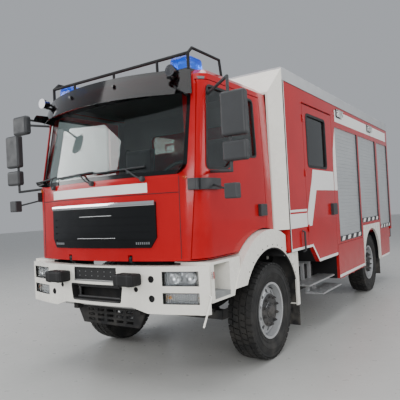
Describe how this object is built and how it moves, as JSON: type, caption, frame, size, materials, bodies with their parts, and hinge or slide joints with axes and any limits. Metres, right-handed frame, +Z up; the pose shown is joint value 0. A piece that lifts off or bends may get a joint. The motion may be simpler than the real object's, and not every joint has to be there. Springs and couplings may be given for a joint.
{
  "type": "fire engine with tilting cab and equipment body",
  "caption": "Two-axle fire engine with a tilting cab, a separate crew cabin and an equipment body closed by roller shutters.",
  "frame": {"origin": "on the ground, midway along the vehicle's length and on its centre line", "axes": "+X towards the vehicle's left, +Y towards the rear, +Z up"},
  "size_m": [3.25, 7.72, 3.297],
  "materials": {
    "fire_red": "gloss",
    "warm_white": "gloss",
    "roof_aluminium": "satin",
    "shutter_aluminium": "satin",
    "chassis_black": "satin",
    "dark_plastic": "satin",
    "gloss_black": "gloss",
    "smoked_plastic": "gloss",
    "clear_glass": "clear",
    "lamp_glass": "clear",
    "blue_lens": "gloss",
    "red_lens": "gloss",
    "tyre_rubber": "matte",
    "flap_rubber": "matte",
    "wheel_steel": "satin",
    "cast_metal": "matte",
    "horn_chrome": "gloss",
    "seat_cloth": "matte"
  },
  "bodies": {
    "chassis": {"chassis_frame": "chassis_black", "leaf_springs": "cast_metal", "axle_beams": "cast_metal", "engine_block": "cast_metal", "driveline": "cast_metal", "chassis_tanks": "chassis_black", "front_bumper": "warm_white", "bumper_fittings": "dark_plastic", "white_lamps": "lamp_glass", "front_fenders": "warm_white", "mudflaps": "flap_rubber", "crew_cabin": "fire_red", "equipment_body": "fire_red", "fairing_frame": "warm_white", "roof_deck": "roof_aluminium", "roof_ladder": "roof_aluminium", "roller_shutters": "shutter_aluminium", "rear_arch_panels": "warm_white", "body_beacons": "blue_lens", "rear_lamps": "red_lens", "rear_underrun": "chassis_black", "access_steps": "roof_aluminium", "crew_seats": "seat_cloth"},
    "cab": {"cab_shell": "fire_red", "cab_glass": "clear_glass", "grille_panel": "gloss_black", "sun_visor": "smoked_plastic", "guard_rail": "chassis_black", "cab_beacons": "blue_lens", "cab_horns": "horn_chrome", "cab_seats": "seat_cloth", "dashboard": "dark_plastic", "front_mirror": "dark_plastic", "corner_covers": "dark_plastic"},
    "cab_door_left": {"cab_door_left": "fire_red", "cab_door_glass_left": "clear_glass", "door_fittings_left": "dark_plastic"},
    "crew_door_left": {"crew_door_left": "fire_red", "crew_door_glass_left": "clear_glass"},
    "locker_flap_left": {"locker_flap_left": "fire_red"},
    "knuckle_left": {"knuckle_left": "cast_metal"},
    "cab_door_right": {"cab_door_right": "fire_red", "cab_door_glass_right": "clear_glass", "door_fittings_right": "dark_plastic"},
    "crew_door_right": {"crew_door_right": "fire_red", "crew_door_glass_right": "clear_glass"},
    "locker_flap_right": {"locker_flap_right": "fire_red"},
    "knuckle_right": {"knuckle_right": "cast_metal"},
    "track_rod": {"track_rod": "cast_metal"},
    "wheel_front_left": {"tyre_front_left": "tyre_rubber", "wheel_front_left": "wheel_steel"},
    "wheel_front_right": {"tyre_front_right": "tyre_rubber", "wheel_front_right": "wheel_steel"},
    "wheel_rear_left": {"tyre_rear_left": "tyre_rubber", "wheel_rear_left": "wheel_steel"},
    "wheel_rear_right": {"tyre_rear_right": "tyre_rubber", "wheel_rear_right": "wheel_steel"}
  },
  "joints": [
    {"name": "cab_tilt", "type": "hinge", "parent": "chassis", "child": "cab", "pos_m": [0, -3.64, 1.225], "axis": [1, 0, 0], "range_deg": [0, 60]},
    {"name": "cab_door_left", "type": "hinge", "parent": "cab", "child": "cab_door_left", "pos_m": [1.085, -3.495, 1.89], "axis": [0, 0, -1], "range_deg": [0, 70]},
    {"name": "crew_door_left", "type": "hinge", "parent": "chassis", "child": "crew_door_left", "pos_m": [1.259, -1.264, 2], "axis": [0, 0, -1], "range_deg": [0, 75]},
    {"name": "locker_flap_left", "type": "hinge", "parent": "chassis", "child": "locker_flap_left", "pos_m": [1.25, 0.64, 0.53], "axis": [0, 1, 0], "range_deg": [0, 90]},
    {"name": "cab_door_right", "type": "hinge", "parent": "cab", "child": "cab_door_right", "pos_m": [-1.085, -3.495, 1.89], "axis": [0, 0, 1], "range_deg": [0, 70]},
    {"name": "crew_door_right", "type": "hinge", "parent": "chassis", "child": "crew_door_right", "pos_m": [-1.259, -1.264, 2], "axis": [0, 0, 1], "range_deg": [0, 75]},
    {"name": "locker_flap_right", "type": "hinge", "parent": "chassis", "child": "locker_flap_right", "pos_m": [-1.25, 0.64, 0.53], "axis": [0, -1, 0], "range_deg": [0, 90]},
    {"name": "steer_left", "type": "hinge", "parent": "chassis", "child": "knuckle_left", "pos_m": [0.85, -2.28, 0.52], "axis": [0, 0, 1], "range_deg": [-35, 35]},
    {"name": "steer_right", "type": "hinge", "parent": "chassis", "child": "knuckle_right", "pos_m": [-0.85, -2.28, 0.52], "axis": [0, 0, 1], "range_deg": [-35, 35]},
    {"name": "track_rod_pin", "type": "hinge", "parent": "knuckle_left", "child": "track_rod", "pos_m": [0.85, -2.07, 0.389], "axis": [0, 0, 1], "range_deg": [-35, 35]},
    {"name": "wheel_front_left", "type": "hinge", "parent": "knuckle_left", "child": "wheel_front_left", "pos_m": [1.046, -2.28, 0.52], "axis": [1, 0, 0], "continuous": true},
    {"name": "wheel_front_right", "type": "hinge", "parent": "knuckle_right", "child": "wheel_front_right", "pos_m": [-1.046, -2.28, 0.52], "axis": [1, 0, 0], "continuous": true},
    {"name": "wheel_rear_left", "type": "hinge", "parent": "chassis", "child": "wheel_rear_left", "pos_m": [1.046, 1.94, 0.52], "axis": [1, 0, 0], "continuous": true},
    {"name": "wheel_rear_right", "type": "hinge", "parent": "chassis", "child": "wheel_rear_right", "pos_m": [-1.046, 1.94, 0.52], "axis": [1, 0, 0], "continuous": true}
  ],
  "couplings": [
    {"joint": "steer_right", "follows": "steer_left", "ratio": 1},
    {"joint": "track_rod_pin", "follows": "steer_left", "ratio": -1}
  ]
}
